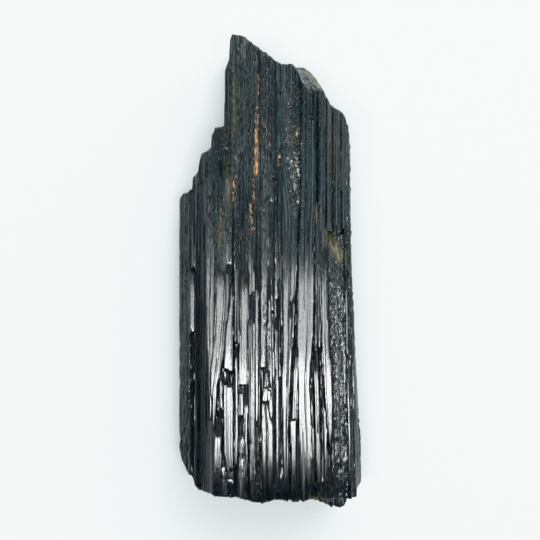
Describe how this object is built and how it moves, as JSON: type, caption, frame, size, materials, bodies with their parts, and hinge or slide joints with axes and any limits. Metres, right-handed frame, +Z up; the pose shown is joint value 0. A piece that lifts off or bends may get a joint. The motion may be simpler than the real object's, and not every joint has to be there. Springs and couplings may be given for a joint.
{
  "type": "tourmaline crystal",
  "caption": "Natural black tourmaline log lying on its side: a bundle of parallel, deeply striated prisms with a stepped, obliquely broken head.",
  "frame": {"origin": "middle of the crystal's bounding box, on the surface that it lies on", "axes": "+Y along the prisms, from the blunt foot to the broken head; +Z up, away from the surface it lies on; +X to the right, towards the side where the head is cut obliquely"},
  "size_m": [0.0386, 0.0986, 0.026],
  "materials": {
    "schorl": "vitreous black with fine lengthwise striae, rusty and ochre stains in the grooves"
  },
  "bodies": {
    "root": {"crystal": "schorl"}
  },
  "joints": []
}
